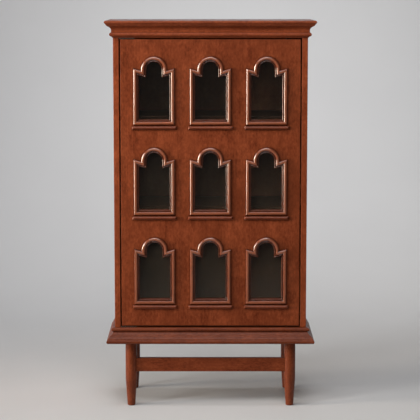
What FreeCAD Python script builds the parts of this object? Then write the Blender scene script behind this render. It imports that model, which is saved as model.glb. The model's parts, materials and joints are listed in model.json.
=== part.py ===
import FreeCAD, Part
import os

# A tall display cabinet: a plain case with one flush door, on four turned legs.
# The door has three rows of three keyhole windows, each in a raised moulding with a sill.
#
# Lengths are in millimetres and angles in degrees.
# The origin is on the floor, in the middle of the cabinet's own box.
# +X is to the right, +Y to the back and +Z up, so the door faces -Y.

os.makedirs("parts", exist_ok=True)

Vector = FreeCAD.Vector
RIGHT = Vector(1, 0, 0)
BACK = Vector(0, 1, 0)
UP = Vector(0, 0, 1)
LEFT = RIGHT * -1
FRONT = BACK * -1
DOWN = UP * -1
half_turn = 180.0
parallel_limit = 0.001
mm3_per_cm3 = 1000.0

# Whole cabinet
overall_height = 1500.0
case_width = 742.0
case_depth = 345.0
leg_height = 255.0
overrun = 5.0
fit_clearance = 0.1
running_gap = 0.3
edge_round = 1.5

# Boards of the case
side_thickness = 22.0
floor_thickness = 20.0
ceiling_thickness = 20.0
top_board_thickness = 22.0
back_thickness = 6.0
back_rebate = 9.0
back_recess = 1.2
rail_thickness = 16.0
corner_block_width = 90.0
corner_block_depth = 80.0

# Shelves on pins
shelf_thickness = 18.0
shelf_setback = 10.0
shelf_side_clearance = 0.5
shelf_above_opening = 12.0
shelf_pin_radius = 2.5
shelf_pin_reach = 10.0
shelf_pin_seat = 9.0
shelf_pin_inset = 40.0

# Mouldings round the top and the base, alike but turned over
moulding_overhang = 32.0
nose_crown = 4.0
neck_overhang = 6.5
bead_overhang = 13.5
slope_bulge = 1.5
crown_nose_height = 11.5
crown_slope_height = 22.0
crown_neck_height = 11.0
crown_bead_height = 15.0
crown_lip_height = 6.0
base_nose_height = 14.5
base_slope_height = 29.0
base_neck_height = 2.0
base_bead_height = 14.5
base_lip_height = 1.0

# Door
door_thickness = 22.0
door_side_gap = 5.0
door_top_gap = 5.0
door_bottom_gap = 6.0
door_edge_round = 1.2

# Window openings, seen from the front. They share the door less these margins and spacings.
column_names = ("left", "middle", "right")
row_names = ("lower", "centre", "upper")
opening_side_margin = 69.0
opening_column_spacing = 96.5
opening_bottom_margin = 105.0
opening_row_spacing = 126.0
opening_top_margin = 84.5
arch_radius_share = 0.254
cusp_drop = 60.0
corner_drop = 51.5

# Moulding and sill of a window
window_moulding_width = 20.0
inner_bead_width = 5.0
inner_bead_rise = 3.8
outer_bead_width = 14.5
outer_bead_rise = 9.5
outer_bead_base = 3.5
groove_floor = 1.5
sill_drop = 3.5
sill_height = 13.5
sill_end_overhang = 6.5
sill_projection = 12.0
sill_base = 5.5
sill_corner_round = 8.0

# Glass in rebates on the back of the door
glass_thickness = 4.0
glass_edge_clearance = 1.0
rebate_margin = 12.0
rebate_depth = 8.0
glazing_bead_width = 10.0

# Turned legs
leg_radius = 22.0
leg_inset_x = 61.0
leg_inset_y = 28.0
taper_height = 104.0
foot_radius = 15.0
foot_chamfer = 2.5
hanger_bolt_radius = 4.0
hanger_bolt_depth_in_leg = 32.0
hanger_bolt_depth_in_block = 34.0

# Stretcher boards between the legs
stretcher_bottom = 136.0
stretcher_height = 53.5
stretcher_thickness = 20.0
tenon_thickness = 9.0
tenon_shoulder = 7.0
tenon_axis_distance = 8.0
tenon_root = 10.0

# Pivot hinges at the left edge of the door
pivot_inset = 14.0
pivot_setback = 9.0
pin_radius = 3.0
pin_running_clearance = 0.05
pin_depth = 12.0
pin_end_space = 1.0
collar_radius = 6.0
socket_radius = 5.0
socket_depth = 15.0
case_plate_length = 60.0
case_plate_width = 16.0
door_plate_length = 50.0
door_plate_width = 13.0
door_plate_inset = 5.0
plate_thickness = 2.0
case_screw_distances = (20.0, 34.0)
door_screw_distances = (17.0, 33.0)
screw_shank_radius = 1.8
screw_head_radius = 3.5

# Push latch at the right edge of the door
latch_from_right = 49.0
latch_drop = 14.0
latch_body_width = 20.0
latch_body_height = 24.0
latch_body_length = 55.0
latch_body_gap = 6.0
plunger_radius = 4.0
plunger_length_inside = 30.0
plunger_travel = 3.0
plunger_end_space = 1.0
plunger_tip_chamfer = 1.5
strike_radius = 7.0
strike_thickness = 1.5

# Places worked out from the sizes
case_right = case_width / 2
inner_right = case_right - side_thickness
case_front = moulding_overhang - (case_depth + moulding_overhang) / 2
case_back = case_front + case_depth
back_panel_back = case_back - back_recess
back_panel_front = back_panel_back - back_thickness
crown_height = (crown_nose_height + crown_slope_height + crown_neck_height
                + crown_bead_height + crown_lip_height)
base_height = (base_nose_height + base_slope_height + base_neck_height
               + base_bead_height + base_lip_height)
floor_top = leg_height + base_height
floor_bottom = floor_top - floor_thickness
ceiling_bottom = overall_height - crown_height
side_top = overall_height - top_board_thickness
door_left = door_side_gap - inner_right
door_right = inner_right - door_side_gap
door_bottom = floor_top + door_bottom_gap
door_top = ceiling_bottom - door_top_gap
door_back = case_front + door_thickness
column_count = len(column_names)
row_count = len(row_names)
opening_width = (door_right - door_left - 2 * opening_side_margin
                 - (column_count - 1) * opening_column_spacing) / column_count
opening_height = (door_top - door_bottom - opening_bottom_margin - opening_top_margin
                  - (row_count - 1) * opening_row_spacing) / row_count
column_pitch = opening_width + opening_column_spacing
row_pitch = opening_height + opening_row_spacing
arch_radius = opening_width * arch_radius_share
lowest_opening_bottom = door_bottom + opening_bottom_margin
rebate_floor = door_back - rebate_depth
shelf_front = door_back + shelf_setback
leg_x = case_right - leg_inset_x
leg_front_y = case_front + leg_inset_y
leg_back_y = case_back - leg_inset_y
pivot_x = door_left + pivot_inset
pivot_y = case_front + pivot_setback
latch_x = inner_right - latch_from_right
latch_z = ceiling_bottom - latch_drop


# General shapes

def block(x_span, y_span, z_span):
    """A box between pairs of low and high places."""
    low = Vector(x_span[0], y_span[0], z_span[0])
    size = Vector(x_span[1], y_span[1], z_span[1]) - low
    return Part.makeBox(size.x, size.y, size.z, low)


def about(middle, width):
    """The low and high places of a width set about its middle."""
    return (middle - width / 2, middle + width / 2)


def unit(vector):
    return vector / vector.Length


def closed_face(edges):
    return Part.Face(Part.Wire(edges))


def line(start, end):
    return Part.LineSegment(start, end).toShape()


def arc(start, through, end):
    return Part.Arc(start, through, end).toShape()


def rounded(shape, radius, chosen):
    """The shape with the edges that the test picks rounded."""
    edges = [edge for edge in shape.Edges if chosen(edge)]
    return shape.makeFillet(radius, edges)


def runs_along(edge, axis):
    """True for an edge between two points that lie along the axis from each other."""
    start, end = edge.Vertexes[0].Point, edge.Vertexes[-1].Point
    return abs(abs(unit(end - start).dot(axis)) - 1) < parallel_limit


def export(name, shape):
    shape.exportStep("parts/" + name + ".step")
    print(name, len(shape.Solids), "solids, volume", round(shape.Volume / mm3_per_cm3, 1), "cm3")


# Mouldings that run along a path and meet in mitres

def placed_profile(profile, start, heading, rise):
    """The profile's X turned across the path, to its outer side, and its Y turned along the rise."""
    across = rise.cross(heading)
    turn = FreeCAD.Rotation(across, rise, heading, "XYZ")
    face = profile.copy()
    face.Placement = FreeCAD.Placement(start, turn)
    return face


def beyond(point, normal, size):
    """A large block that holds all that lies past a plane."""
    space = Part.makeBox(size, size, size, Vector(-size / 2, -size / 2, 0))
    space.Placement = FreeCAD.Placement(point, FreeCAD.Rotation(UP, normal))
    return space


def mitred_runs(profile, corners, rise, reach):
    """One length of moulding between each pair of corners, square at the path's two ends."""
    headings = [unit(end - start) for start, end in zip(corners, corners[1:])]
    last = len(headings) - 1
    runs = []
    for index, heading in enumerate(headings):
        start, end = corners[index], corners[index + 1]
        before = headings[max(index - 1, 0)]
        after = headings[min(index + 1, last)]
        face = placed_profile(profile, start - heading * reach, heading, rise)
        run = face.extrude(end - start + heading * 2 * reach)
        run = run.cut(beyond(start, (before + heading) * -1, 4 * reach))
        run = run.cut(beyond(end, heading + after, 4 * reach))
        runs.append(run)
    return runs


def edge_moulding_profile(nose, slope, neck, bead, lip):
    """Rounded nose, S-shaped slope, neck and bead. X is the overhang and Y runs from the wide end."""
    nose_x = moulding_overhang - nose_crown
    slope_start = Vector(nose_x, nose, 0)
    slope_end = Vector(neck_overhang, nose + slope, 0)
    slope_middle = (slope_start + slope_end) / 2
    sideways = unit(Vector(slope, nose_x - neck_overhang, 0)) * slope_bulge
    bead_start = slope_end + Vector(0, neck, 0)
    bead_end = bead_start + Vector(0, bead, 0)
    root = Vector(0, bead_end.y + lip, 0)
    return closed_face([
        line(Vector(0, 0, 0), Vector(nose_x, 0, 0)),
        arc(Vector(nose_x, 0, 0), Vector(moulding_overhang, nose / 2, 0), slope_start),
        arc(slope_start, (slope_start + slope_middle) / 2 + sideways, slope_middle),
        arc(slope_middle, (slope_middle + slope_end) / 2 - sideways, slope_end),
        line(slope_end, bead_start),
        arc(bead_start, Vector(bead_overhang, bead_start.y + bead / 2, 0), bead_end),
        line(bead_end, root),
        line(root, Vector(0, 0, 0)),
    ])


def edge_moulding(profile, z, rise):
    """The left, front and right lengths of a moulding whose wide end lies at the height z."""
    corners = [
        Vector(-case_right, case_back, z),
        Vector(-case_right, case_front, z),
        Vector(case_right, case_front, z),
        Vector(case_right, case_back, z),
    ]
    if rise.z > 0:
        right, front, left = mitred_runs(profile, corners[::-1], rise, 2 * moulding_overhang)
    else:
        left, front, right = mitred_runs(profile, corners, rise, 2 * moulding_overhang)
    return {"left": left, "front": front, "right": right}


def make_crown():
    profile = edge_moulding_profile(crown_nose_height, crown_slope_height, crown_neck_height,
                                    crown_bead_height, crown_lip_height)
    for place, run in edge_moulding(profile, overall_height, DOWN).items():
        export("cornice_" + place, run)


def make_base_moulding():
    profile = edge_moulding_profile(base_nose_height, base_slope_height, base_neck_height,
                                    base_bead_height, base_lip_height)
    for place, run in edge_moulding(profile, leg_height, UP).items():
        export("base_moulding_" + place, run)


# Case

def shelf_levels():
    """The top of each shelf, just above the foot of the openings of every row but the lowest."""
    first = lowest_opening_bottom + shelf_above_opening
    return [first + row * row_pitch for row in range(1, row_count)]


def shelf_pin_places():
    """Height and depth of each pin on one side."""
    depths = (shelf_front + shelf_pin_inset, back_panel_front - shelf_pin_inset)
    heights = [level - shelf_thickness - shelf_pin_radius for level in shelf_levels()]
    return [(depth, height) for height in heights for depth in depths]


def shelf_pins(growth):
    """All pins, made thicker by the growth and as much deeper where they cut their own holes."""
    start = inner_right - shelf_pin_reach
    length = shelf_pin_reach + shelf_pin_seat + growth
    radius = shelf_pin_radius + growth
    pins = []
    for depth, height in shelf_pin_places():
        pins.append(Part.makeCylinder(radius, length, Vector(start, depth, height), RIGHT))
        pins.append(Part.makeCylinder(radius, length, Vector(-start, depth, height), LEFT))
    return Part.makeCompound(pins)


def make_side_panels():
    depth = (case_front, case_back)
    panel = block((inner_right, case_right), depth, (leg_height, side_top))
    panel = rounded(panel, edge_round, lambda edge: runs_along(edge, UP)
                    and edge.CenterOfMass.y < 0)
    panel = panel.cut(block((inner_right - overrun, inner_right + back_rebate),
                            (back_panel_front, case_back + overrun),
                            (floor_bottom, side_top + overrun)))
    panel = panel.cut(shelf_pins(fit_clearance))
    export("side_panel_right", panel)
    export("side_panel_left", panel.mirror(Vector(0, 0, 0), RIGHT))


def make_case_boards():
    inner = (-inner_right, inner_right)
    to_back_panel = (case_front, back_panel_front)
    export("bottom_panel", block(inner, to_back_panel, (floor_bottom, floor_top)))
    export("top_panel", block(inner, to_back_panel,
                              (ceiling_bottom, ceiling_bottom + ceiling_thickness)))
    export("top_board", block((-case_right, case_right), (case_front, case_back),
                              (side_top, overall_height)))
    rebated = inner_right + back_rebate
    export("back_panel", block((-rebated, rebated), (back_panel_front, back_panel_back),
                               (floor_bottom, side_top)))


def make_shelves():
    side = inner_right - shelf_side_clearance
    for name, level in zip(("shelf_lower", "shelf_upper"), shelf_levels()):
        shelf = block((-side, side), (shelf_front, back_panel_front),
                      (level - shelf_thickness, level))
        shelf = rounded(shelf, edge_round, lambda edge: runs_along(edge, RIGHT)
                        and edge.CenterOfMass.y < 0)
        export(name, shelf)
    export("shelf_pins", shelf_pins(0))


# Frame under the case, with the leg bolts

def leg_places():
    return {
        "front_left": (-leg_x, leg_front_y),
        "front_right": (leg_x, leg_front_y),
        "back_left": (-leg_x, leg_back_y),
        "back_right": (leg_x, leg_back_y),
    }


def hanger_bolts(growth):
    bottom = leg_height - hanger_bolt_depth_in_leg - growth
    length = hanger_bolt_depth_in_leg + hanger_bolt_depth_in_block + 2 * growth
    return Part.makeCompound([
        Part.makeCylinder(hanger_bolt_radius + growth, length, Vector(x, y, bottom))
        for x, y in leg_places().values()])


def make_base_frame():
    height = (leg_height, floor_bottom)
    inner = (-inner_right, inner_right)
    export("base_rail_front", block(inner, (case_front, case_front + rail_thickness), height))
    export("base_rail_back", block(inner, (case_back - rail_thickness, case_back), height))
    front_start = case_front + rail_thickness
    back_start = case_back - rail_thickness - corner_block_depth
    blocks = []
    for y in (front_start, back_start):
        right = block((inner_right - corner_block_width, inner_right),
                      (y, y + corner_block_depth), height)
        blocks += [right, right.mirror(Vector(0, 0, 0), RIGHT)]
    export("corner_blocks", Part.makeCompound(blocks).cut(hanger_bolts(fit_clearance)))
    export("hanger_bolts", hanger_bolts(0))


# Legs and stretchers

def tenon(growth):
    """The tenon at the -X end of a stretcher whose leg stands at the origin."""
    return block((tenon_axis_distance - growth, leg_radius + tenon_root),
                 about(0, tenon_thickness + 2 * growth),
                 (stretcher_bottom + tenon_shoulder - growth,
                  stretcher_bottom + stretcher_height - tenon_shoulder + growth))


def turned_leg():
    """A straight leg that tapers to a small chamfered foot, about the Z axis."""
    foot = Vector(foot_radius, 0, foot_chamfer)
    shoulder = Vector(leg_radius, 0, taper_height)
    tip = Vector(foot_radius - foot_chamfer, 0, 0)
    top = Vector(leg_radius, 0, leg_height)
    outline = closed_face([
        line(Vector(0, 0, 0), tip),
        line(tip, foot),
        line(foot, shoulder),
        line(shoulder, top),
        line(top, UP * leg_height),
        line(UP * leg_height, Vector(0, 0, 0)),
    ])
    return outline.revolve(Vector(0, 0, 0), UP, 2 * half_turn)


def make_legs():
    quarter_turn = half_turn / 2
    for name, (x, y) in leg_places().items():
        leg = turned_leg()
        sideways = tenon(fit_clearance)
        if x > 0:
            sideways.rotate(Vector(0, 0, 0), UP, half_turn)
        lengthways = tenon(fit_clearance)
        if y > 0:
            lengthways.rotate(Vector(0, 0, 0), UP, -quarter_turn)
        else:
            lengthways.rotate(Vector(0, 0, 0), UP, quarter_turn)
        mortises = [lengthways, sideways] if y < 0 else [lengthways]
        for mortise in mortises:
            leg = leg.cut(mortise)
        leg.translate(Vector(x, y, 0))
        export("leg_" + name, leg.cut(hanger_bolts(fit_clearance)))


def stretcher(distance):
    """A board along X between two legs that stand at the origin and at the distance."""
    board = block((0, distance), about(0, stretcher_thickness),
                  (stretcher_bottom, stretcher_bottom + stretcher_height))
    board = rounded(board, edge_round, lambda edge: runs_along(edge, RIGHT))
    far = Vector(distance, 0, 0)
    for centre in (Vector(0, 0, 0), far):
        board = board.cut(Part.makeCylinder(leg_radius, leg_height, centre))
    near_tenon = tenon(0)
    far_tenon = near_tenon.mirror(far / 2, RIGHT)
    return board.fuse([near_tenon, far_tenon]).removeSplitter()


def make_stretchers():
    front = stretcher(2 * leg_x)
    front.translate(Vector(-leg_x, leg_front_y, 0))
    export("stretcher_front", front)
    for name, x in (("stretcher_left", -leg_x), ("stretcher_right", leg_x)):
        side = stretcher(leg_back_y - leg_front_y)
        side.rotate(Vector(0, 0, 0), UP, half_turn / 2)
        side.translate(Vector(x, leg_front_y, 0))
        export(name, side)


# Windows, made about the foot of the opening at the middle of its width

def window_points():
    """The right half of the opening, from the arch's spring down to the foot."""
    side = opening_width / 2
    return [
        Vector(arch_radius, case_front, opening_height - arch_radius),
        Vector(arch_radius, case_front, opening_height - cusp_drop),
        Vector(side, case_front, opening_height - corner_drop),
        Vector(side, case_front, 0),
    ]


def window_path():
    """All corners of the opening, clockwise as seen from the front."""
    right = window_points()
    left = [Vector(-point.x, point.y, point.z) for point in right]
    return right + left[::-1]


def opening_cutter():
    corners = window_path()
    crown = Vector(0, case_front, opening_height)
    edges = [line(start, end) for start, end in zip(corners, corners[1:])]
    edges.append(arc(corners[-1], crown, corners[0]))
    face = closed_face(edges)
    face.translate(FRONT * overrun)
    return face.extrude(BACK * (door_thickness + 2 * overrun))


def window_moulding_profile():
    """A large outer bead on a fillet and a small inner one. X is the distance from the opening."""
    outer_start = window_moulding_width - outer_bead_width
    outer_middle = window_moulding_width - outer_bead_width / 2
    inner_foot = Vector(0, groove_floor, 0)
    inner_end = Vector(inner_bead_width, groove_floor, 0)
    groove_end = Vector(outer_start, groove_floor, 0)
    bead_start = Vector(outer_start, outer_bead_base, 0)
    bead_end = Vector(window_moulding_width, outer_bead_base, 0)
    foot = Vector(window_moulding_width, 0, 0)
    return closed_face([
        line(Vector(0, 0, 0), inner_foot),
        arc(inner_foot, Vector(inner_bead_width / 2, inner_bead_rise, 0), inner_end),
        line(inner_end, groove_end),
        line(groove_end, bead_start),
        arc(bead_start, Vector(outer_middle, outer_bead_rise, 0), bead_end),
        line(bead_end, foot),
        line(foot, Vector(0, 0, 0)),
    ])


def window_moulding():
    """Mitred lengths round the opening and a turned length over the arch, in one piece."""
    profile = window_moulding_profile()
    path = window_path()
    runs = mitred_runs(profile, path, FRONT, 2 * window_moulding_width)
    centre = Vector(0, case_front, opening_height - arch_radius)
    spring = placed_profile(profile, path[0], DOWN, FRONT)
    hood = spring.revolve(centre, FRONT, half_turn)
    return hood.fuse(runs).removeSplitter()


def window_sill():
    """A half-round bead under the moulding, with its ends returned to the door."""
    top = -window_moulding_width - sill_drop
    half_length = opening_width / 2 + window_moulding_width + sill_end_overhang
    nose_y = case_front - sill_projection
    base_y = case_front - sill_base
    section = closed_face([
        line(Vector(-half_length, case_front, top), Vector(-half_length, base_y, top)),
        arc(Vector(-half_length, base_y, top), Vector(-half_length, nose_y, top - sill_height / 2),
            Vector(-half_length, base_y, top - sill_height)),
        line(Vector(-half_length, base_y, top - sill_height),
             Vector(-half_length, case_front, top - sill_height)),
        line(Vector(-half_length, case_front, top - sill_height),
             Vector(-half_length, case_front, top)),
    ])
    bead = section.extrude(RIGHT * 2 * half_length)
    plan = block((-half_length, half_length), (nose_y, case_front), (top - sill_height, top))
    plan = rounded(plan, sill_corner_round, lambda edge: runs_along(edge, UP)
                   and edge.CenterOfMass.y < base_y)
    return bead.common(plan)


def column_places():
    first = -column_pitch * (column_count - 1) / 2
    return [first + column * column_pitch for column in range(column_count)]


def row_places():
    return [lowest_opening_bottom + row * row_pitch for row in range(row_count)]


def window_places():
    return {row + "_" + column: Vector(x, 0, z)
            for row, z in zip(row_names, row_places())
            for column, x in zip(column_names, column_places())}


def make_window_trim():
    moulding, sill = window_moulding(), window_sill()
    for name, place in window_places().items():
        export("window_moulding_" + name, moulding.translated(place))
        export("window_sill_" + name, sill.translated(place))


# Glass and its beads, one pane behind each row

def rebate_spans(z, inset):
    """Width and height of a row's rebate, drawn in by the inset."""
    half_width = column_places()[-1] + opening_width / 2 + rebate_margin - inset
    return ((-half_width, half_width),
            (z - rebate_margin + inset, z + opening_height + rebate_margin - inset))


def glazing_beads(z):
    outer_x, outer_z = rebate_spans(z, fit_clearance)
    depth = (rebate_floor + glass_thickness, door_back)
    low_edge = outer_z[0] + glazing_bead_width
    high_edge = outer_z[1] - glazing_bead_width
    left_edge = outer_x[0] + glazing_bead_width
    right_edge = outer_x[1] - glazing_bead_width
    return Part.makeCompound([
        block(outer_x, depth, (outer_z[0], low_edge)),
        block(outer_x, depth, (high_edge, outer_z[1])),
        block((outer_x[0], left_edge), depth, (low_edge, high_edge)),
        block((right_edge, outer_x[1]), depth, (low_edge, high_edge)),
    ])


def make_glazing():
    for name, z in zip(row_names, row_places()):
        width, height = rebate_spans(z, glass_edge_clearance)
        depth = (rebate_floor, rebate_floor + glass_thickness)
        export("glass_" + name, block(width, depth, height))
        export("glazing_beads_" + name, glazing_beads(z))


# Pivot hinges: pins on plates in the case, sockets on plates in the door's edges

def screw_holes(distances, face_z, inward):
    """Countersunk holes at distances from the pivot axis. Inward points from the face into the plate."""
    sink_depth = screw_head_radius - screw_shank_radius
    holes = []
    for distance in distances:
        place = Vector(pivot_x + distance, pivot_y, face_z)
        holes.append(Part.makeCone(screw_head_radius, screw_shank_radius, sink_depth, place, inward))
        holes.append(Part.makeCylinder(screw_shank_radius, plate_thickness + overrun, place, inward))
    return holes


def pivot_case_plate(seat_z, inward, gap):
    """A plate on the case with a collar and a pin that points inward, to the door."""
    base = block((-inner_right, -inner_right + case_plate_length),
                 about(pivot_y, case_plate_width),
                 sorted((seat_z, seat_z + inward.z * plate_thickness)))
    axis_foot = Vector(pivot_x, pivot_y, seat_z)
    collar = Part.makeCylinder(collar_radius, gap - running_gap, axis_foot, inward)
    pin = Part.makeCylinder(pin_radius, gap + pin_depth, axis_foot, inward)
    face_z = seat_z + inward.z * plate_thickness
    base = base.cut(screw_holes(case_screw_distances, face_z, inward * -1))
    return base.fuse([collar, pin]).removeSplitter()


def socket_solid(edge_z, inward, growth):
    """A plate let into the door's edge, with a tube about the pin."""
    inner_z = edge_z + inward.z * (plate_thickness + growth)
    start = door_left + door_plate_inset
    plate = block((start - growth, start + door_plate_length + growth),
                  about(pivot_y, door_plate_width + 2 * growth), sorted((edge_z, inner_z)))
    foot = Vector(pivot_x, pivot_y, edge_z)
    tube = Part.makeCylinder(socket_radius + growth, socket_depth + growth, foot, inward)
    return plate.fuse(tube)


def pivot_socket(edge_z, inward):
    foot = Vector(pivot_x, pivot_y, edge_z)
    bore_radius = pin_radius + pin_running_clearance
    bore = Part.makeCylinder(bore_radius, pin_depth + pin_end_space, foot, inward)
    cuts = [bore] + screw_holes(door_screw_distances, edge_z, inward)
    return socket_solid(edge_z, inward, 0).cut(cuts).removeSplitter()


def make_pivots():
    export("pivot_plate_lower", pivot_case_plate(floor_top, UP, door_bottom_gap))
    export("pivot_plate_upper", pivot_case_plate(ceiling_bottom, DOWN, door_top_gap))
    export("pivot_socket_lower", pivot_socket(door_bottom, UP))
    export("pivot_socket_upper", pivot_socket(door_top, DOWN))


# Push latch: a sprung plunger in a housing under the case's top panel

def strike_disc(growth):
    start = Vector(latch_x, door_back - strike_thickness - growth, latch_z)
    return Part.makeCylinder(strike_radius + growth, strike_thickness + 2 * growth, start, BACK)


def make_latch():
    body_front = door_back + latch_body_gap
    body = block(about(latch_x, latch_body_width), (body_front, body_front + latch_body_length),
                 (ceiling_bottom - latch_body_height, ceiling_bottom))
    body = rounded(body, edge_round, lambda edge: runs_along(edge, BACK)
                   and edge.CenterOfMass.z < latch_z)
    bore_length = plunger_length_inside + plunger_travel + plunger_end_space
    bore = Part.makeCylinder(plunger_radius + pin_running_clearance, bore_length,
                             Vector(latch_x, body_front, latch_z), BACK)
    export("latch_housing", body.cut(bore))
    tip_y = door_back + running_gap
    length = body_front + plunger_length_inside - tip_y
    plunger = Part.makeCylinder(plunger_radius, length, Vector(latch_x, tip_y, latch_z), BACK)
    tip_edges = [edge for edge in plunger.Edges if len(edge.Vertexes) == 1
                 and edge.CenterOfMass.y < body_front]
    plunger = plunger.makeChamfer(plunger_tip_chamfer, tip_edges)
    export("latch_plunger", plunger)
    export("latch_strike", strike_disc(0))


# Door

def door_blank():
    blank = block((door_left, door_right), (case_front, door_back), (door_bottom, door_top))
    middle = (case_front + door_back) / 2
    return rounded(blank, door_edge_round, lambda edge: not runs_along(edge, BACK)
                   and edge.CenterOfMass.y < middle)


def make_door():
    panel = door_blank()
    cutter = opening_cutter()
    panel = panel.cut([cutter.translated(place) for place in window_places().values()])
    for z in row_places():
        width, height = rebate_spans(z, 0)
        panel = panel.cut(block(width, (rebate_floor, door_back + overrun), height))
    panel = panel.cut([
        socket_solid(door_bottom, UP, fit_clearance),
        socket_solid(door_top, DOWN, fit_clearance),
        strike_disc(fit_clearance),
    ])
    export("door_panel", panel)


make_side_panels()
make_case_boards()
make_shelves()
make_crown()
make_base_moulding()
make_base_frame()
make_legs()
make_stretchers()
make_door()
make_window_trim()
make_glazing()
make_pivots()
make_latch()
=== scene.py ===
# %% [markdown]
# # A display cabinet with nine keyhole windows
# The real cabinet is a plain case of stained boards on four turned legs. One door fills its front,
# with three rows of small arched windows in raised mouldings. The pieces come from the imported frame
# at their true size and place. This lesson gives them their finish, rebuilds the finest mouldings,
# adds screws and pins, and sets the cabinet in a plain studio.
# All lengths are in metres. +X is to the right, +Z is up, and the door faces -Y.

import json
import math

import bmesh
import bpy
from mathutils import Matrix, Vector


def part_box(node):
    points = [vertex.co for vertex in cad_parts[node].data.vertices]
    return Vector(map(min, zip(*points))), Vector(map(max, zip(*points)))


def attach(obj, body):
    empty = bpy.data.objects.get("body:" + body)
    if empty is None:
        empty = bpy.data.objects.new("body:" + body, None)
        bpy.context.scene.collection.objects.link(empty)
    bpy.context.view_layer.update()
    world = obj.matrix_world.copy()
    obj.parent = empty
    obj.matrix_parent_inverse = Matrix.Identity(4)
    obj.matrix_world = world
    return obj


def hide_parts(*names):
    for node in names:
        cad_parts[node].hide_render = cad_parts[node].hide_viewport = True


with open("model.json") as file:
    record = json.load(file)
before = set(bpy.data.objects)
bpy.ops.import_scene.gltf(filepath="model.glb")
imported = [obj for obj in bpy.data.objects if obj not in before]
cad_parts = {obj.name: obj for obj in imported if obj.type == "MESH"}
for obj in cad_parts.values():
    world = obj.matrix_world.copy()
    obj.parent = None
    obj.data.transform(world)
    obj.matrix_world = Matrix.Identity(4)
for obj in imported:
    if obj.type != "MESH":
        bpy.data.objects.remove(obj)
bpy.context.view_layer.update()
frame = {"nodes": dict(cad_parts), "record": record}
nodes = frame["nodes"]
finish_of = {part["node"]: part["material_slot"] for part in frame["record"]["subparts"]}


# %% [markdown]
# ## A short way to write node trees
# Materials and Geometry Nodes are both trees of nodes. Building them in a script needs the same
# three acts again and again: add a node, set its choices, and feed its inputs. One helper does all
# three, so that each tree below reads like a recipe.

# %% Node helpers
def add(tree, kind, feeds=None, **choices):
    """Adds a node. feeds gives each input a value, or the output socket that drives it."""
    made = tree.nodes.new(kind)
    for name, value in choices.items():
        setattr(made, name, value)
    for name, value in (feeds or {}).items():
        if isinstance(value, bpy.types.NodeSocket):
            tree.links.new(value, made.inputs[name])
        else:
            made.inputs[name].default_value = value
    return made


def new_group(name, kind, takes, gives):
    """An empty group with named sockets. Returns it, its inputs and what it gives out."""
    tree = bpy.data.node_groups.new(name, kind)
    for title, sort, default in takes:
        socket = tree.interface.new_socket(title, in_out="INPUT", socket_type=sort)
        if default is not None:
            socket.default_value = default
    for title, sort in gives:
        tree.interface.new_socket(title, in_out="OUTPUT", socket_type=sort)
    entry = tree.nodes.new("NodeGroupInput")
    leave = tree.nodes.new("NodeGroupOutput")
    return tree, entry.outputs, leave.inputs


def calculate(tree, operation, *values):
    """The result of a Math node."""
    return add(tree, "ShaderNodeMath", dict(enumerate(values)), operation=operation).outputs[0]


def spread(tree, value, low, high, to_low=0.0, to_high=1.0):
    """Maps the span from low to high onto that from to_low to to_high, and stops at its ends."""
    return add(tree, "ShaderNodeMapRange", {"Value": value, "From Min": low, "From Max": high,
                                            "To Min": to_low, "To Max": to_high}).outputs[0]


def mix_colours(tree, share, first, second, how="MIX"):
    return add(tree, "ShaderNodeMix", {0: share, 6: first, 7: second},
               data_type="RGBA", blend_type=how).outputs[2]


# %% [markdown]
# ## What stained wood looks like
# The boards are a close-grained red-brown wood under stain and satin lacquer. From large to small,
# it shows blotches and clouds where the stain took unevenly, broad bands of growth, fine lines,
# specks, and pores as short dark dashes. A noise texture makes each one. Drawn out along the grain,
# the same noise turns from clouds into streaks, so the group needs the grain to run along its Z.
# A photograph or a painted texture could do this too, but a solid pattern runs through the wood, as
# it does on a real board, so faces, edges and mouldings agree.

# %% The wood figure group
def grain_noise(tree, place, draw, scale, detail):
    """Noise whose spots are about 1 / scale wide, and drawn out along Z by 1 / draw."""
    drawn = add(tree, "ShaderNodeVectorMath", {0: place, 1: (1, 1, draw)}, operation="MULTIPLY")
    return add(tree, "ShaderNodeTexNoise", {"Vector": drawn.outputs[0], "Scale": scale,
                                            "Detail": detail, "Roughness": 0.6}).outputs["Fac"]


def make_wood_group():
    tree, takes, gives = new_group(
        "wood_figure", "ShaderNodeTree",
        [("Place", "NodeSocketVector", None),
         ("Dark", "NodeSocketColor", (0.10, 0.022, 0.010, 1)),
         ("Light", "NodeSocketColor", (0.30, 0.090, 0.045, 1)),
         ("Blotch", "NodeSocketColor", (0.16, 0.052, 0.022, 1))],
        [("Colour", "NodeSocketColor"), ("Pores", "NodeSocketFloat"),
         ("Height", "NodeSocketFloat")])
    place = takes["Place"]
    bands = spread(tree, grain_noise(tree, place, 0.06, 22, 3), 0.35, 0.65)
    lines = spread(tree, grain_noise(tree, place, 0.03, 190, 3), 0.35, 0.65)
    clouds = spread(tree, grain_noise(tree, place, 0.6, 26, 4), 0.38, 0.62)
    specks = spread(tree, grain_noise(tree, place, 0.5, 170, 3), 0.35, 0.65)
    blotches = spread(tree, grain_noise(tree, place, 0.7, 11, 3), 0.45, 0.65)
    pores = spread(tree, grain_noise(tree, place, 0.05, 1500, 1), 0.62, 0.70)
    tone = 0.0
    for layer, share in ((bands, 0.16), (lines, 0.16), (clouds, 0.28), (specks, 0.40)):
        tone = calculate(tree, "ADD", calculate(tree, "MULTIPLY", layer, share), tone)
    colour = mix_colours(tree, tone, takes["Dark"], takes["Light"])
    colour = mix_colours(tree, calculate(tree, "MULTIPLY", blotches, 0.45), colour, takes["Blotch"])
    colour = mix_colours(tree, calculate(tree, "MULTIPLY", pores, 0.4), colour, takes["Dark"])
    height = calculate(tree, "SUBTRACT", calculate(tree, "MULTIPLY", lines, 0.3), pores)
    tree.links.new(colour, gives["Colour"])
    tree.links.new(pores, gives["Pores"])
    tree.links.new(height, gives["Height"])
    return tree


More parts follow.
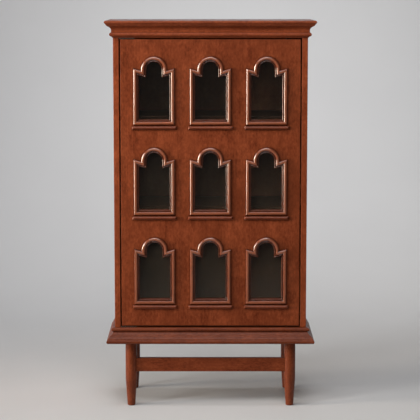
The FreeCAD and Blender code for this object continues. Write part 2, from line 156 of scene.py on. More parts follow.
wood_figure = make_wood_group()
print("wood figure:", len(wood_figure.nodes), "nodes")


# %% [markdown]
# ## Softened edges and darkened corners
# No edge of a finished cabinet is knife sharp. Sanding rounds it by a millimetre, and polish wears thin
# there and shows a lighter line. The Bevel node bends the normal near an edge as if it were rounded.
# How far it bends it tells where the edges are, which makes the wear mask. Ambient Occlusion finds
# the corners, and the finishes darken them with painted shade.

# %% The edge group
def make_edge_group():
    tree, takes, gives = new_group(
        "soft_edges", "ShaderNodeTree",
        [("Radius", "NodeSocketFloat", 0.001), ("Reach", "NodeSocketFloat", 0.004)],
        [("Normal", "NodeSocketVector"), ("Edge", "NodeSocketFloat"),
         ("Corner", "NodeSocketFloat")])
    rounded = add(tree, "ShaderNodeBevel", {"Radius": takes["Radius"]}, samples=4).outputs[0]
    straight = add(tree, "ShaderNodeNewGeometry").outputs["Normal"]
    alike = add(tree, "ShaderNodeVectorMath", {0: rounded, 1: straight}, operation="DOT_PRODUCT")
    # The occlusion makes the corner mask, which the finishes use to paint shade into corners.
    shade = add(tree, "ShaderNodeAmbientOcclusion", {"Distance": takes["Reach"]},
                samples=6).outputs["AO"]
    tree.links.new(rounded, gives["Normal"])
    tree.links.new(spread(tree, alike.outputs["Value"], 0.985, 0.80), gives["Edge"])
    tree.links.new(spread(tree, shade, 0.92, 0.45), gives["Corner"])
    return tree


soft_edges = make_edge_group()
print("soft edges:", len(soft_edges.nodes), "nodes")


# %% [markdown]
# ## The stained wood finish
# Every board has its own piece of the pattern and its own way of the grain. A Mapping node shifts
# and turns the pattern before the group reads it: the grain follows the longest side of the piece.
# Each kind of piece has its own tone. It is painted light and shade: the base, the legs, the stretcher,
# the window sills and the shelves are darker, and the cornice and the sides lighter. The lacquer is
# a thin clear coat over a rougher stain. The maker rubs the window mouldings up to a shine and leaves
# the broad boards satin, so each kind has its polish as well. The crest of a rounded bead is lighter,
# partly as wear and partly as a painted highlight, and the flanks of each bead darken towards its
# foot with painted shade. No edge marks either place, so the tree of the mouldings writes both down as
# attributes, which this finish reads. Other pieces have no such attributes, and there they count as 0.

# %% Stained wood
quarter_turn = math.pi / 2
turn_to_grain = {"X": (0, -quarter_turn, 0), "Y": (quarter_turn, 0, 0), "Z": (0, 0, 0)}
stains = {
    "mahogany": {"Dark": (0.100, 0.017, 0.005, 1), "Light": (0.335, 0.077, 0.028, 1),
                 "Blotch": (0.160, 0.033, 0.011, 1)},
    "inner_wood": {"Dark": (0.022, 0.008, 0.004, 1), "Light": (0.070, 0.026, 0.013, 1),
                   "Blotch": (0.040, 0.014, 0.007, 1)},
    # The back panel is lighter than the rest of the inside: painted light where light through the
    # windows falls on it.
    "back_panel": {"Dark": (0.120, 0.042, 0.022, 1), "Light": (0.300, 0.115, 0.060, 1),
                   "Blotch": (0.180, 0.062, 0.032, 1)},
}
polish_of = {"window": 0.3, "leg": 0.15, "cornice": 0.15, "base": 0.15, "top": 0.3}
board_polish = 0.05
# Painted light and shade by kind: pieces under the case, sills and shelves darker, the cornice and the
# sides lighter.
painted_light_tone_of = {"base": 0.78, "leg": 0.82, "stretcher": 0.85, "cornice": 1.18, "side": 1.2,
           "shelf": 0.6, "window": 0.8}
board_tone = 1.0
pattern_step = Vector((0.37, 0.53, 1.71))
# The worn colour is wear at the edges and, on the bead crests, also a painted highlight.
wear_and_highlight_colour = (0.42, 0.15, 0.075, 1)
# The shade colour is painted shade, for corners and for the flanks of the beads.
painted_shade_colour = (0.030, 0.006, 0.002, 1)
wear_and_highlight_share, corner_shade_share, flank_shade_share = 0.5, 0.95, 0.85


def stained_wood(name, stain, grain, number, polish, tone):
    """A wood finish whose grain runs along the axis. The number picks the part of the pattern."""
    finish = bpy.data.materials.new(name)
    finish.use_nodes = True
    tree = finish.node_tree
    tree.nodes.clear()
    place = add(tree, "ShaderNodeMapping",
                {"Vector": add(tree, "ShaderNodeTexCoord").outputs["Object"],
                 "Location": pattern_step * number, "Rotation": turn_to_grain[grain]}).outputs[0]
    wood = add(tree, "ShaderNodeGroup", node_tree=wood_figure)
    tree.links.new(place, wood.inputs["Place"])
    for title, colour in stains[stain].items():
        wood.inputs[title].default_value = (*(part * tone for part in colour[:3]), 1)
    edges = add(tree, "ShaderNodeGroup", node_tree=soft_edges)
    crest = add(tree, "ShaderNodeAttribute", attribute_name="crest").outputs["Fac"]
    hollow = add(tree, "ShaderNodeAttribute", attribute_name="hollow").outputs["Fac"]
    # Edges wear lighter. On bead crests the lighter colour is also a painted highlight.
    wear_and_highlight_mask = calculate(tree, "MAXIMUM", edges.outputs["Edge"], crest)
    wear_and_highlight = calculate(tree, "MULTIPLY", wear_and_highlight_mask, wear_and_highlight_share)
    # Painted shade: concave corners darken towards the shade colour.
    dust_and_painted_light = calculate(tree, "MULTIPLY", edges.outputs["Corner"], corner_shade_share)
    # Painted shade: the flanks of the beads darken towards their foot.
    flank_shade = calculate(tree, "MULTIPLY", hollow, flank_shade_share)
    painted_shade = calculate(tree, "MAXIMUM", dust_and_painted_light, flank_shade)
    colour = mix_colours(tree, wear_and_highlight, wood.outputs["Colour"], wear_and_highlight_colour)
    colour = mix_colours(tree, painted_shade, colour, painted_shade_colour)
    roughness = spread(tree, wood.outputs["Pores"], 0.0, 1.0, 0.40, 0.60)
    relief = add(tree, "ShaderNodeBump", {"Strength": 0.35, "Distance": 0.0002,
                                          "Height": wood.outputs["Height"],
                                          "Normal": edges.outputs["Normal"]}).outputs[0]
    shader = add(tree, "ShaderNodeBsdfPrincipled", {
        "Base Color": colour, "Roughness": roughness, "Normal": relief,
        "Specular IOR Level": 0.1, "Coat Weight": polish,
        "Coat Roughness": 0.24 - 0.10 * polish, "Coat IOR": 1.5 + 0.5 * polish})
    add(tree, "ShaderNodeOutputMaterial", {"Surface": shader.outputs[0]})
    return finish


def longest_axis(name):
    low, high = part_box(name)
    sides = high - low
    return "XYZ"[max(range(3), key=lambda axis: sides[axis])]


print("stains:", ", ".join(stains))


# %% [markdown]
# ## Glass, steel and plastic
# The panes are clear float glass with a faint greenish tint. Wipe marks and a film of dust keep them
# from looking like holes. The film is thicker on the lower panes, as dust and as a painted reflection
# that lightens them. Light has to reach the shelves through them. A renderer seldom finds that bent
# path, so rays that ask for shadow pass straight on, a little dimmed. The hinge plates and screws are
# zinc-plated steel with fine brushing, darkened nearly to black with painted shade wherever another
# surface is near, and the push latch is black plastic with a grained skin.

# %% Glass, steel and plastic
def new_finish(name):
    """A bare material with its tree and a place for patterns to read."""
    finish = bpy.data.materials.new(name)
    finish.use_nodes = True
    finish.node_tree.nodes.clear()
    place = add(finish.node_tree, "ShaderNodeTexCoord").outputs["Object"]
    return finish, finish.node_tree, place


def clear_glass():
    finish, tree, place = new_finish("clear_glass")
    smears = grain_noise(tree, place, 0.6, 5, 3)
    colour = mix_colours(tree, smears, (0.72, 0.76, 0.73, 1), (0.82, 0.86, 0.83, 1))
    shader = add(tree, "ShaderNodeBsdfPrincipled", {
        "Base Color": colour, "Roughness": 0.0, "IOR": 1.5, "Transmission Weight": 1.0})
    dust = add(tree, "ShaderNodeBsdfDiffuse", {"Color": (0.68, 0.52, 0.38, 1)})
    # The dust film thickens towards the bottom: dust, and a painted reflection that lightens the lower
    # panes.
    height = add(tree, "ShaderNodeSeparateXYZ", {0: place}).outputs["Z"]
    dust_and_reflection_film = calculate(tree, "MULTIPLY", spread(tree, height, 0.6, 1.1, 0.020, 0.004),
                     spread(tree, smears, 0.3, 0.7, 0.7, 1.3))
    dust_and_painted_light = add(tree, "ShaderNodeMixShader", {0: dust_and_reflection_film, 1: shader.outputs[0], 2: dust.outputs[0]})
    passed = add(tree, "ShaderNodeBsdfTransparent", {"Color": (0.68, 0.72, 0.69, 1)})
    in_shadow = add(tree, "ShaderNodeLightPath").outputs["Is Shadow Ray"]
    both = add(tree, "ShaderNodeMixShader",
               {0: in_shadow, 1: dust_and_painted_light.outputs[0], 2: passed.outputs[0]})
    add(tree, "ShaderNodeOutputMaterial", {"Surface": both.outputs[0]})
    return finish


def plated_steel():
    finish, tree, place = new_finish("plated_steel")
    brushing = grain_noise(tree, place, 0.05, 2500, 2)
    colour = mix_colours(tree, brushing, (0.42, 0.42, 0.41, 1), (0.68, 0.67, 0.64, 1))
    roughness = spread(tree, brushing, 0.3, 0.7, 0.28, 0.46)
    # Painted shade: the steel darkens nearly to black within 30 mm of another surface.
    edges = add(tree, "ShaderNodeGroup", {"Radius": 0.0004, "Reach": 0.03}, node_tree=soft_edges)
    colour = mix_colours(tree, edges.outputs["Corner"], colour, (0.02, 0.016, 0.012, 1))
    relief = add(tree, "ShaderNodeBump", {"Strength": 0.2, "Distance": 0.0001, "Height": brushing,
                                          "Normal": edges.outputs["Normal"]}).outputs[0]
    shader = add(tree, "ShaderNodeBsdfPrincipled", {
        "Base Color": colour, "Roughness": roughness, "Normal": relief, "Metallic": 1.0})
    add(tree, "ShaderNodeOutputMaterial", {"Surface": shader.outputs[0]})
    return finish


def black_plastic():
    finish, tree, place = new_finish("black_plastic")
    skin = grain_noise(tree, place, 1.0, 1800, 2)
    colour = mix_colours(tree, skin, (0.012, 0.012, 0.012, 1), (0.035, 0.034, 0.032, 1))
    edges = add(tree, "ShaderNodeGroup", {"Radius": 0.0005}, node_tree=soft_edges)
    relief = add(tree, "ShaderNodeBump", {"Strength": 0.3, "Distance": 0.0001, "Height": skin,
                                          "Normal": edges.outputs["Normal"]}).outputs[0]
    roughness = spread(tree, skin, 0.3, 0.7, 0.42, 0.58)
    shader = add(tree, "ShaderNodeBsdfPrincipled", {
        "Base Color": colour, "Roughness": roughness, "Normal": relief})
    add(tree, "ShaderNodeOutputMaterial", {"Surface": shader.outputs[0]})
    return finish


plain_finishes = {"glass": clear_glass(), "steel": plated_steel(), "plastic": black_plastic()}
print("plain finishes:", ", ".join(plain_finishes))

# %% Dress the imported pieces
for number, (name, piece) in enumerate(sorted(nodes.items())):
    slot = finish_of[name]
    if slot in stains:
        kind = name.split("_")[0]
        stain = name if name in stains else slot
        finish = stained_wood("wood_" + name, stain, longest_axis(name), number,
                              polish_of.get(kind, board_polish), painted_light_tone_of.get(kind, board_tone))
    else:
        finish = plain_finishes[slot]
    piece.data.materials.clear()
    piece.data.materials.append(finish)
print("dressed", len(nodes), "pieces with", len(bpy.data.materials), "finishes")


# %% [markdown]
# ## The window mouldings
# Each window has a raised moulding of two beads, small inside and large outside. The straight
# lengths are planed, cut off at half the angle of each corner, and glued round the opening. Over the
# arch the same section is turned in a ring and sawn in half. Geometry Nodes can do the same: a
# curve gives the path, another gives the section, and Curve to Mesh runs one along the other. At a
# corner it sets the section square to the bisector without making it wider, so the lengths would
# thin out there. Moving the points out by one over the cosine of half the turn gives true mitres.

# %% Path and section of a moulding
door_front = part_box("door_panel")[0].y
moulding_nodes = sorted(name for name in nodes if name.startswith("window_moulding"))
moulding_width = 0.020
small_bead_width, small_bead_foot, small_bead_crown = 0.005, 0.0015, 0.0038
large_bead_start, large_bead_foot, large_bead_crown = 0.0055, 0.0035, 0.0095
first_low, first_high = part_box(moulding_nodes[0])
opening_width = first_high.x - first_low.x - 2 * moulding_width
opening_height = first_high.z - first_low.z - 2 * moulding_width
arch_radius = 0.254 * opening_width
cusp_height = opening_height - 0.060
corner_height = opening_height - 0.0515
arch_steps = 48
bead_steps = 14


def drawn_curve(name, points):
    """A closed curve of straight pieces through the points."""
    data = bpy.data.curves.new(name, "CURVE")
    data.dimensions = "3D"
    spline = data.splines.new("POLY")
    spline.points.add(len(points) - 1)
    for knot, point in zip(spline.points, points):
        knot.co = (*point, 1)
    spline.use_cyclic_u = True
    return bpy.data.objects.new(name, data)


def keyhole_points():
    """Round the opening from its lower right corner, anticlockwise as seen from the front."""
    side = opening_width / 2
    right = [(side, 0, 0), (side, 0, corner_height), (arch_radius, 0, cusp_height)]
    arch = []
    for step in range(arch_steps + 1):
        angle = math.pi * step / arch_steps
        arch.append((arch_radius * math.cos(angle), 0,
                     opening_height + arch_radius * (math.sin(angle) - 1)))
    left = [(-x, y, z) for x, y, z in reversed(right)]
    return right + arch + left


def bead(start, end, foot, crown):
    """An arc of a circle from start to end across the moulding, from foot up to crown."""
    half, rise = (end - start) / 2, crown - foot
    radius = (half * half + rise * rise) / (2 * rise)
    reach = math.atan2(half, radius - rise)
    angles = [reach * (2 * step / bead_steps - 1) for step in range(bead_steps + 1)]
    return [(crown - radius + radius * math.cos(angle), start + half + radius * math.sin(angle), 0)
            for angle in angles]


section_points = [
    (0, 0, 0), *bead(0, small_bead_width, small_bead_foot, small_bead_crown),
    (small_bead_foot, large_bead_start, 0),
    *bead(large_bead_start, moulding_width, large_bead_foot, large_bead_crown),
    (0, moulding_width, 0)]
window_path = drawn_curve("window_path", keyhole_points())
window_section = drawn_curve("window_section", section_points)
print("opening", round(opening_width, 4), "by", round(opening_height, 4), "and",
      len(section_points), "points in the section")


# %% The moulding tree
crest_depth = 0.0010
# Below this depth under the crown, the flanks of a bead take painted shade.
flank_shade_depth = 0.0005


def make_moulding_tree():
    tree, takes, gives = new_group(
        "mitred_moulding", "GeometryNodeTree",
        [("Places", "NodeSocketGeometry", None), ("Path", "NodeSocketObject", None),
         ("Section", "NodeSocketObject", None), ("Crown", "NodeSocketFloat", large_bead_crown),
         ("Foot", "NodeSocketFloat", small_bead_foot),
         ("Upright Finish", "NodeSocketMaterial", None),
         ("Level Finish", "NodeSocketMaterial", None)],
        [("Mouldings", "NodeSocketGeometry")])
    path = add(tree, "GeometryNodeObjectInfo", {"Object": takes["Path"]}).outputs["Geometry"]
    section = add(tree, "GeometryNodeObjectInfo", {"Object": takes["Section"]}).outputs["Geometry"]
    here = add(tree, "GeometryNodeInputPosition").outputs[0]
    after = add(tree, "GeometryNodeOffsetPointInCurve", {"Offset": 1}).outputs["Point Index"]
    there = add(tree, "GeometryNodeFieldAtIndex", {"Value": here, "Index": after},
                data_type="FLOAT_VECTOR").outputs[0]
    ahead = add(tree, "ShaderNodeVectorMath", {0: there, 1: here}, operation="SUBTRACT").outputs[0]
    heading = add(tree, "ShaderNodeVectorMath", {0: ahead}, operation="NORMALIZE").outputs[0]
    tangent = add(tree, "GeometryNodeInputTangent").outputs[0]
    cosine = add(tree, "ShaderNodeVectorMath", {0: tangent, 1: heading},
                 operation="DOT_PRODUCT").outputs["Value"]
    kept = tree.nodes.new("GeometryNodeCaptureAttribute")
    kept.capture_items.new("VECTOR", "Centre")
    kept.capture_items.new("FLOAT", "Cosine")
    tree.links.new(path, kept.inputs["Geometry"])
    tree.links.new(here, kept.inputs["Centre"])
    tree.links.new(cosine, kept.inputs["Cosine"])
    facing = add(tree, "GeometryNodeSetCurveNormal",
                 {"Curve": kept.outputs["Geometry"], "Normal": (0, -1, 0)}, mode="FREE").outputs[0]
    run = add(tree, "GeometryNodeCurveToMesh", {"Curve": facing, "Profile Curve": section}).outputs[0]
    centre = kept.outputs["Centre"]
    widening = calculate(tree, "DIVIDE", 1.0, kept.outputs["Cosine"])
    stretch = add(tree, "ShaderNodeCombineXYZ", {"X": widening, "Y": 1.0, "Z": widening}).outputs[0]
    offset = add(tree, "ShaderNodeVectorMath", {0: here, 1: centre}, operation="SUBTRACT").outputs[0]
    mitred = add(tree, "ShaderNodeVectorMath", {0: offset, 1: stretch, 2: centre},
                 operation="MULTIPLY_ADD").outputs[0]
    run = add(tree, "GeometryNodeSetPosition", {"Geometry": run, "Position": mitred}).outputs[0]
    rise = calculate(tree, "MULTIPLY", add(tree, "ShaderNodeSeparateXYZ", {0: here}).outputs["Y"], -1.0)
    # crest: the top millimetre of each bead, lighter as wear and as a painted highlight.
    crest_foot = calculate(tree, "SUBTRACT", takes["Crown"], crest_depth)
    crest = spread(tree, rise, crest_foot, takes["Crown"])
    # hollow: painted shade that deepens towards the foot of each bead.
    flank_shade_top = calculate(tree, "SUBTRACT", takes["Crown"], flank_shade_depth)
    hollow = spread(tree, rise, flank_shade_top, takes["Foot"])
    for title, share in (("crest", crest), ("hollow", hollow)):
        run = add(tree, "GeometryNodeStoreNamedAttribute",
                  {"Geometry": run, "Name": title, "Value": share},
                  data_type="FLOAT", domain="POINT").outputs[0]
    height = add(tree, "ShaderNodeSeparateXYZ", {0: centre}).outputs["Z"]
    low = add(tree, "FunctionNodeCompare", {"A": height, "B": 0.001}, operation="LESS_THAN").outputs[0]
    copies = add(tree, "GeometryNodeInstanceOnPoints", {"Points": takes["Places"], "Instance": run})
    whole = add(tree, "GeometryNodeRealizeInstances", {0: copies.outputs[0]}).outputs[0]
    whole = add(tree, "GeometryNodeSetMaterial",
                {"Geometry": whole, "Material": takes["Upright Finish"]}).outputs[0]
    whole = add(tree, "GeometryNodeSetMaterial",
                {"Geometry": whole, "Selection": low, "Material": takes["Level Finish"]}).outputs[0]
    tree.links.new(whole, gives["Mouldings"])
    return tree


moulding_tree = make_moulding_tree()
print("moulding tree:", len(moulding_tree.nodes), "nodes")


# %% From a node tree to a plain mesh
def points_object(name, points, directions=()):
    """A mesh of loose points. Each may carry the direction in which its copy looks."""
    mesh = bpy.data.meshes.new(name)
    mesh.from_pydata([tuple(point) for point in points], [], [])
    if directions:
        aim = mesh.attributes.new("aim", "FLOAT_VECTOR", "POINT")
        aim.data.foreach_set("vector", [part for direction in directions for part in direction])
    return bpy.data.objects.new(name, mesh)


def grown(start, tree, smooth_angle, **settings):
    """Runs the tree on the start object, and keeps the result as a new object with a plain mesh."""
    bpy.context.scene.collection.objects.link(start)
    modifier = start.modifiers.new("grow", "NODES")
    modifier.node_group = tree
    sockets = {item.name: item.identifier for item in tree.interface.items_tree
               if item.in_out == "INPUT"}
    for title, value in settings.items():
        modifier[sockets[title.replace("_", " ")]] = value
    view = bpy.context.evaluated_depsgraph_get()
    mesh = bpy.data.meshes.new_from_object(start.evaluated_get(view))
    work = bmesh.new()
    work.from_mesh(mesh)
    bmesh.ops.remove_doubles(work, verts=work.verts, dist=1e-6)
    bmesh.ops.recalc_face_normals(work, faces=work.faces)
    work.to_mesh(mesh)
    work.free()
    mesh.shade_smooth()
    mesh.set_sharp_from_angle(angle=smooth_angle)
    mesh.name = start.name
    piece = bpy.data.objects.new(start.name + "_made", mesh)
    bpy.data.objects.remove(start)
    bpy.context.scene.collection.objects.link(piece)
    low, high = piece.bound_box[0], piece.bound_box[6]
    print(piece.name, len(mesh.polygons), "faces from", [round(v, 4) for v in low],
          "to", [round(v, 4) for v in high])
    return piece


# %% Nine mouldings
opening_feet = []
for name in moulding_nodes:
    low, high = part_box(name)
    opening_feet.append(((low.x + high.x) / 2, door_front, low.z + moulding_width))

upright_finish = stained_wood("moulding_upright", "mahogany", "Z", 70, polish=1.0, tone=1.0)
level_finish = stained_wood("moulding_level", "mahogany", "X", 71, polish=0.45, tone=1.0)
mouldings = grown(points_object("window_mouldings", opening_feet), moulding_tree,
                  math.radians(35), Path=window_path, Section=window_section,
                  Crown=large_bead_crown, Foot=small_bead_foot,
                  Upright_Finish=upright_finish, Level_Finish=level_finish)
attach(mouldings, "door")
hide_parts(*moulding_nodes)


# %% [markdown]
# ## Screws and pins
# The cabinet is held together by steel screws that the front hides: two in each hinge plate and each
# door socket, and a row round the back panel, so that the back can come off. Glass is held by small
# pins through the glazing beads. One node tree makes all the heads. A ball is pressed into shape: its
# upper half becomes the low dome, its lower half the cone of a countersunk head or, with no depth, a
# flat seat. Two crossed bars cut the recess. Each head turns by its own random amount, as screws
# driven by hand do, from a fixed seed.

# %% The screw tree
def make_head_tree():
    tree, takes, gives = new_group(
        "driven_heads", "GeometryNodeTree",
        [("Places", "NodeSocketGeometry", None), ("Head Radius", "NodeSocketFloat", 0.0035),
         ("Head Rise", "NodeSocketFloat", 0.0004), ("Cone Depth", "NodeSocketFloat", 0.0016),
         ("Recessed", "NodeSocketBool", True), ("Seed", "NodeSocketInt", 1),
         ("Finish", "NodeSocketMaterial", None)],
        [("Heads", "NodeSocketGeometry")])
    radius, rise = takes["Head Radius"], takes["Head Rise"]
    ball = add(tree, "GeometryNodeMeshUVSphere", {"Segments": 24, "Rings": 14, "Radius": radius})
    point = add(tree, "GeometryNodeInputPosition").outputs[0]
    parts = add(tree, "ShaderNodeSeparateXYZ", {0: point}).outputs
    dome = calculate(tree, "MULTIPLY", calculate(tree, "DIVIDE", parts["Z"], radius), rise)
    flat = add(tree, "ShaderNodeVectorMath", {0: point, 1: (1, 1, 0)}, operation="MULTIPLY").outputs[0]
    out = add(tree, "ShaderNodeVectorMath", {0: flat}, operation="LENGTH").outputs["Value"]
    inward = calculate(tree, "SUBTRACT", calculate(tree, "DIVIDE", out, radius), 1.0)
    cone = calculate(tree, "MULTIPLY", inward, takes["Cone Depth"])
    above = calculate(tree, "GREATER_THAN", parts["Z"], 0.0)
    level = add(tree, "ShaderNodeMix", {0: above, 2: cone, 3: dome}, data_type="FLOAT").outputs[0]
    shaped = add(tree, "ShaderNodeCombineXYZ", {"X": parts["X"], "Y": parts["Y"], "Z": level})
    head = add(tree, "GeometryNodeSetPosition",
               {"Geometry": ball.outputs["Mesh"], "Position": shaped.outputs[0]}).outputs[0]
    long_side = calculate(tree, "MULTIPLY", radius, 1.05)
    thin_side = calculate(tree, "MULTIPLY", radius, 0.26)
    bars = tree.nodes.new("GeometryNodeJoinGeometry")
    for first, second in ((long_side, thin_side), (thin_side, long_side)):
        size = add(tree, "ShaderNodeCombineXYZ", {"X": first, "Y": second, "Z": radius})
        bar = add(tree, "GeometryNodeMeshCube", {"Size": size.outputs[0]})
        tree.links.new(bar.outputs["Mesh"], bars.inputs[0])
    lift = calculate(tree, "MULTIPLY_ADD", radius, 0.32, rise)
    moved = add(tree, "GeometryNodeTransform",
                {"Geometry": bars.outputs[0],
                 "Translation": add(tree, "ShaderNodeCombineXYZ", {"Z": lift}).outputs[0]})
    cut = add(tree, "GeometryNodeMeshBoolean",
              {0: head, 1: moved.outputs[0], "Self Intersection": True},
              operation="DIFFERENCE", solver="EXACT").outputs[0]
    chosen = add(tree, "GeometryNodeSwitch", {"Switch": takes["Recessed"], "False": head, "True": cut},
                 input_type="GEOMETRY").outputs[0]
    aim = add(tree, "GeometryNodeInputNamedAttribute", {"Name": "aim"},
              data_type="FLOAT_VECTOR").outputs["Attribute"]
    facing = add(tree, "FunctionNodeAlignRotationToVector", {"Vector": aim}, axis="Z").outputs[0]
    chance = add(tree, "FunctionNodeRandomValue", {2: 0.0, 3: 3.1, "Seed": takes["Seed"]},
                 data_type="FLOAT").outputs[1]
    spin = add(tree, "FunctionNodeEulerToRotation",
               {0: add(tree, "ShaderNodeCombineXYZ", {"Z": chance}).outputs[0]}).outputs[0]
    turned = add(tree, "FunctionNodeRotateRotation", {0: facing, 1: spin},
                 rotation_space="LOCAL").outputs[0]
    copies = add(tree, "GeometryNodeInstanceOnPoints",
                 {"Points": takes["Places"], "Instance": chosen, "Rotation": turned}).outputs[0]
    whole = add(tree, "GeometryNodeRealizeInstances", {0: copies}).outputs[0]
    whole = add(tree, "GeometryNodeSetMaterial",
                {"Geometry": whole, "Material": takes["Finish"]}).outputs[0]
    tree.links.new(whole, gives["Heads"])
    return tree


head_tree = make_head_tree()
print("screw tree:", len(head_tree.nodes), "nodes")


def driven_heads(name, body, places, directions, seed, **sizes):
    """Screw or pin heads at the places, each facing its direction, on one body."""
    heads = grown(points_object(name, places, directions), head_tree, math.radians(40),
                  Finish=plain_finishes["steel"], Seed=seed, **sizes)
    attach(heads, body)
    return heads


# %% Screws of the hinges
joints = {joint["name"]: joint for joint in frame["record"]["behaviour"]["joints"]}
hinge_x, hinge_y = joints["door_hinge"]["pos_m"][:2]
plate_thickness = 0.002
case_screw_distances = (0.020, 0.034)
door_screw_distances = (0.017, 0.033)


def hinge_screws(name, body, distances, faces, seed):
    """Heads at the distances from the pivot. Each face has its height and the way it looks."""
    places = [(hinge_x + distance, hinge_y, height) for height, way in faces
              for distance in distances]
    aims = [(0, 0, way) for height, way in faces for distance in distances]
    driven_heads(name, body, places, aims, seed)


case_faces = ((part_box("pivot_plate_lower")[0].z + plate_thickness, 1),
              (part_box("pivot_plate_upper")[1].z - plate_thickness, -1))
door_faces = ((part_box("door_panel")[0].z, -1), (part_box("door_panel")[1].z, 1))
hinge_screws("case_hinge_screws", "case", case_screw_distances, case_faces, 3)
hinge_screws("door_hinge_screws", "door", door_screw_distances, door_faces, 4)


# %% Screws round the back panel
def spaced(low, high, about):
    """Even steps from low to high, each as near to the wanted distance as they can be."""
    steps = round((high - low) / about)
    return [low + (high - low) * step / steps for step in range(steps + 1)]


backwards = (0, 1, 0)
screw_margin = 0.011
upright_spacing, level_spacing = 0.19, 0.18
low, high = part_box("back_panel")
sides = (low.x + screw_margin, high.x - screw_margin)
heights = (low.z + screw_margin, high.z - screw_margin)
back_screws = [(x, high.y, z) for x in sides for z in spaced(*heights, upright_spacing)]
back_screws += [(x, high.y, z) for z in heights for x in spaced(*sides, level_spacing)[1:-1]]
driven_heads("back_panel_screws", "case", back_screws, [backwards] * len(back_screws), 5,
             Head_Rise=0.0011, Cone_Depth=0.0)

# %% Pins through the glazing beads
pin_inset = 0.005
level_margin, level_pin_spacing = 0.03, 0.10
upright_margin, upright_pin_spacing = 0.04, 0.08
bead_pins = []
for row in ("lower", "centre", "upper"):
    low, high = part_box("glazing_beads_" + row)
    across = spaced(low.x + level_margin, high.x - level_margin, level_pin_spacing)
    upwards = spaced(low.z + upright_margin, high.z - upright_margin, upright_pin_spacing)
    for z in (low.z + pin_inset, high.z - pin_inset):
        bead_pins += [(x, high.y, z) for x in across]
    for x in (low.x + pin_inset, high.x - pin_inset):
        bead_pins += [(x, high.y, z) for z in upwards]
driven_heads("glazing_pins", "door", bead_pins, [backwards] * len(bead_pins), 6,
             Head_Radius=0.0009, Head_Rise=0.0003, Cone_Depth=0.0, Recessed=False)


# %% [markdown]
# ## The studio
# The cabinet stands on a roll of pale paper that curves up into a backdrop, so that no corner
# shows. The roll is hardly wider than the picture. Beyond it the room is dark, and so the flanks
# that face away from the lights go nearly black. In front of the paper lies the bare studio floor,
# which the lower panes mirror. Seen from behind, the paper is clear, to leave the cabinet's back in
# sight.
# Five soft lights do the rest. The key light stands at the left, half way round to the side, so that
# the right flank of each bead is dark. The amber side light draws the warm bright line down the left
# flank. The top light hangs in front and puts the shadow under the case. A weak narrow light from
# above lifts the floor in front, and the last one lights the backdrop. The dim room fills in a
# little from everywhere.

# %% The paper backdrop
paper_front = -0.6
paper_back = 3.2
paper_height = 5.0
paper_half_width = 1.45
sweep_radius = 1.6
sweep_steps = 24


def make_backdrop():
    """A floor and a wall joined by a quarter of a cylinder."""
    centre = Vector((0, paper_back - sweep_radius, sweep_radius))
    outline = [Vector((0, paper_front, 0))]
    for step in range(sweep_steps + 1):
        angle = quarter_turn * step / sweep_steps
        outline.append(centre + Vector((0, math.sin(angle), -math.cos(angle))) * sweep_radius)
    outline.append(Vector((0, paper_back, paper_height)))
    points = [point + Vector((side, 0, 0)) for point in outline
              for side in (-paper_half_width, paper_half_width)]
    faces = [(2 * row, 2 * row + 1, 2 * row + 3, 2 * row + 2) for row in range(len(outline) - 1)]
    mesh = bpy.data.meshes.new("backdrop")
    mesh.from_pydata(points, [], faces)
    mesh.shade_smooth()
    backdrop = bpy.data.objects.new("backdrop", mesh)
    bpy.context.scene.collection.objects.link(backdrop)
    finish, tree, place = new_finish("studio_paper")
    clouds = grain_noise(tree, place, 1.0, 1.5, 2)
    colour = mix_colours(tree, clouds, (0.763, 0.760, 0.770, 1), (0.823, 0.820, 0.830, 1))
    shader = add(tree, "ShaderNodeBsdfPrincipled", {"Base Color": colour, "Roughness": 0.85})
    clear = add(tree, "ShaderNodeBsdfTransparent")
    behind = add(tree, "ShaderNodeNewGeometry").outputs["Backfacing"]
    both = add(tree, "ShaderNodeMixShader", {0: behind, 1: shader.outputs[0], 2: clear.outputs[0]})
    add(tree, "ShaderNodeOutputMaterial", {"Surface": both.outputs[0]})
    mesh.materials.append(finish)
    print("backdrop of", len(faces), "strips")
    return backdrop


make_backdrop()

# %% The bare floor
bare_front = -6.2
bare_back = -1.5
bare_half_width = 2.5
bare_level = -0.002


def make_studio_floor():
    """The bare studio floor in front of the paper, which only the panes mirror."""
    corners = [(-bare_half_width, bare_front), (bare_half_width, bare_front),
               (bare_half_width, bare_back), (-bare_half_width, bare_back)]
    mesh = bpy.data.meshes.new("studio_floor")
    mesh.from_pydata([(x, y, bare_level) for x, y in corners], [], [(0, 1, 2, 3)])
    studio_floor = bpy.data.objects.new("studio_floor", mesh)
    bpy.context.scene.collection.objects.link(studio_floor)
    finish, tree, place = new_finish("worn_floor")
    scuffs = grain_noise(tree, place, 1.0, 4, 3)
    colour = mix_colours(tree, scuffs, (0.70, 0.70, 0.66, 1), (0.82, 0.82, 0.78, 1))
    shader = add(tree, "ShaderNodeBsdfPrincipled", {"Base Color": colour, "Roughness": 0.7})
    add(tree, "ShaderNodeOutputMaterial", {"Surface": shader.outputs[0]})
    mesh.materials.append(finish)
    return studio_floor


make_studio_floor()
print("bare floor from", bare_front, "to", bare_back)


# %% Lights
warm, amber, neutral = (1.0, 0.99, 0.94), (1.0, 0.87, 0.70), (1.0, 1.0, 1.0)
room_glow = (0.05, 0.05, 0.05, 1)


def polar(azimuth, distance, height):
    """A place at an azimuth in degrees, counted from straight in front towards the left."""
    turn = math.radians(azimuth)
    return -math.sin(turn) * distance, -math.cos(turn) * distance, height


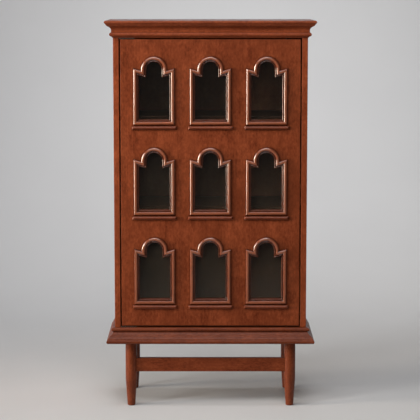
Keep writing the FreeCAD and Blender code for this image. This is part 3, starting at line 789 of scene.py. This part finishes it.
def soft_light(name, place, target, size, power, spread_degrees, colour):
    """A rectangle of light that faces the target."""
    data = bpy.data.lights.new(name, "AREA")
    data.shape = "RECTANGLE"
    data.size, data.size_y = size
    data.energy = power
    data.spread = math.radians(spread_degrees)
    data.color = colour
    lamp = bpy.data.objects.new(name, data)
    lamp.location = place
    lamp.rotation_mode = "QUATERNION"
    lamp.rotation_quaternion = (Vector(target) - Vector(place)).to_track_quat("-Z", "Y")
    bpy.context.scene.collection.objects.link(lamp)
    print(name, "of", power, "W at", [round(part, 2) for part in place])


soft_light("key_light", place=polar(54, 5.0, 2.4), target=(0, 0, 1.45), size=(1.2, 2.0),
           power=14.2, spread_degrees=60, colour=warm)
soft_light("side_light", place=polar(76, 4.5, 1.5), target=(0, 0, 1.10), size=(1.2, 2.6),
           power=19.5, spread_degrees=40, colour=amber)
soft_light("top_light", place=polar(10, 2.5, 3.4), target=(0, 0, 0.8), size=(3.2, 1.6),
           power=26, spread_degrees=120, colour=neutral)
soft_light("floor_light", place=(0, -0.8, 3.6), target=(0, -0.6, 0), size=(2.6, 0.5),
           power=1.6, spread_degrees=36, colour=neutral)
soft_light("backdrop_light", place=(0, 0.9, 4.2), target=(0, 3.2, 1.2), size=(2.6, 0.9),
           power=33, spread_degrees=110, colour=neutral)

world = bpy.data.worlds.new("dim_room")
bpy.context.scene.world = world
world.use_nodes = True
world.node_tree.nodes["Background"].inputs["Color"].default_value = room_glow

# %% [markdown]
# ## The camera
# The photograph is a long-lens view from the front, a little above the middle of the cabinet. The
# uprights lean together towards the floor by a small angle, which gives the height and the tilt of
# the camera, and the distance comes from how far apart the front and rear feet show.

# %% Camera
image_width = 420
focal_pixels = 1657.75
camera_height = 1.6098
camera_distance = 6.33
camera_tilt = math.radians(7.51)
centre_shift_pixels = 0.45

data = bpy.data.cameras.new("camera")
data.sensor_width = 36.0
data.lens = focal_pixels / image_width * data.sensor_width
camera = bpy.data.objects.new("camera", data)
side_step = centre_shift_pixels / focal_pixels * camera_distance
camera.location = (-side_step, door_front - camera_distance, camera_height)
camera.rotation_euler = (quarter_turn - camera_tilt, 0, 0)
bpy.context.scene.collection.objects.link(camera)
bpy.context.scene.camera = camera
bpy.context.scene.view_settings.view_transform = "Standard"
print("a lens of", round(data.lens, 1), "mm at", [round(part, 3) for part in camera.location])
